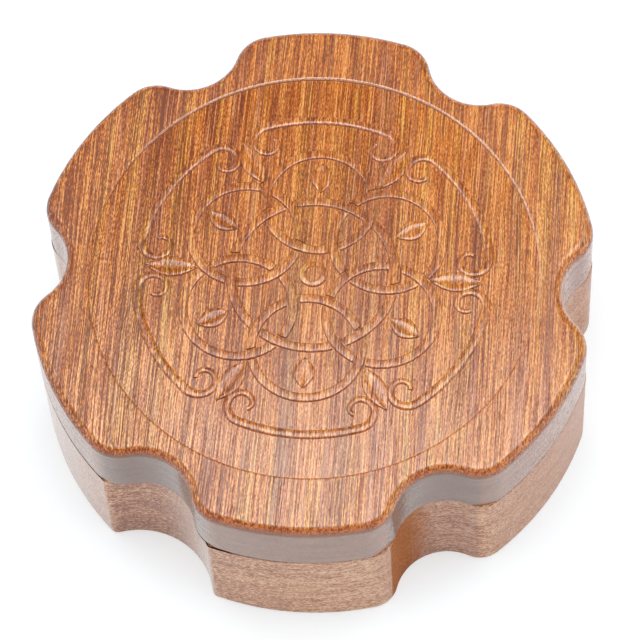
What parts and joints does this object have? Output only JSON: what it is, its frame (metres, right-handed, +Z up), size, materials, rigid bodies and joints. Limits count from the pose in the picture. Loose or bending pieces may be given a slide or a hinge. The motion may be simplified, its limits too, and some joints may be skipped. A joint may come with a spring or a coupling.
{
  "type": "dice storage chest",
  "caption": "Round lobed hardwood dice chest with finger notches, a lift-off lid with a sunk carved medallion, magnets in the seam and felt-lined round wells.",
  "frame": {"origin": "centre of the underside, on the surface the chest stands on", "axes": "+Z up through the lid; the lobes are centred 30, 90, 150, 210, 270 and 330 degrees round from +X, so one lobe faces -Y, the front, and a finger notch faces +X"},
  "size_m": [0.1108, 0.114, 0.039],
  "materials": {
    "lid_wood": "satin oiled hardwood, straight grain along Y",
    "base_wood": "matt oiled hardwood, fine grain along X",
    "magnet_plate": "bright nickel plating",
    "well_felt": "short-napped charcoal felt"
  },
  "bodies": {
    "base": {"base": "base_wood", "base_magnet_1": "magnet_plate", "base_magnet_2": "magnet_plate", "base_magnet_3": "magnet_plate", "base_magnet_4": "magnet_plate", "base_magnet_5": "magnet_plate", "base_magnet_6": "magnet_plate", "base_felt_centre": "well_felt", "base_felt_1": "well_felt", "base_felt_2": "well_felt", "base_felt_3": "well_felt", "base_felt_4": "well_felt", "base_felt_5": "well_felt", "base_felt_6": "well_felt"},
    "lid": {"lid": "lid_wood", "lid_magnet_1": "magnet_plate", "lid_magnet_2": "magnet_plate", "lid_magnet_3": "magnet_plate", "lid_magnet_4": "magnet_plate", "lid_magnet_5": "magnet_plate", "lid_magnet_6": "magnet_plate", "lid_felt_centre": "well_felt", "lid_felt_1": "well_felt", "lid_felt_2": "well_felt", "lid_felt_3": "well_felt", "lid_felt_4": "well_felt", "lid_felt_5": "well_felt", "lid_felt_6": "well_felt"}
  },
  "joints": [
    {"name": "lid_lift", "type": "slide", "parent": "base", "child": "lid", "axis": [0, 0, 1], "range_m": [0, 0.06]}
  ]
}
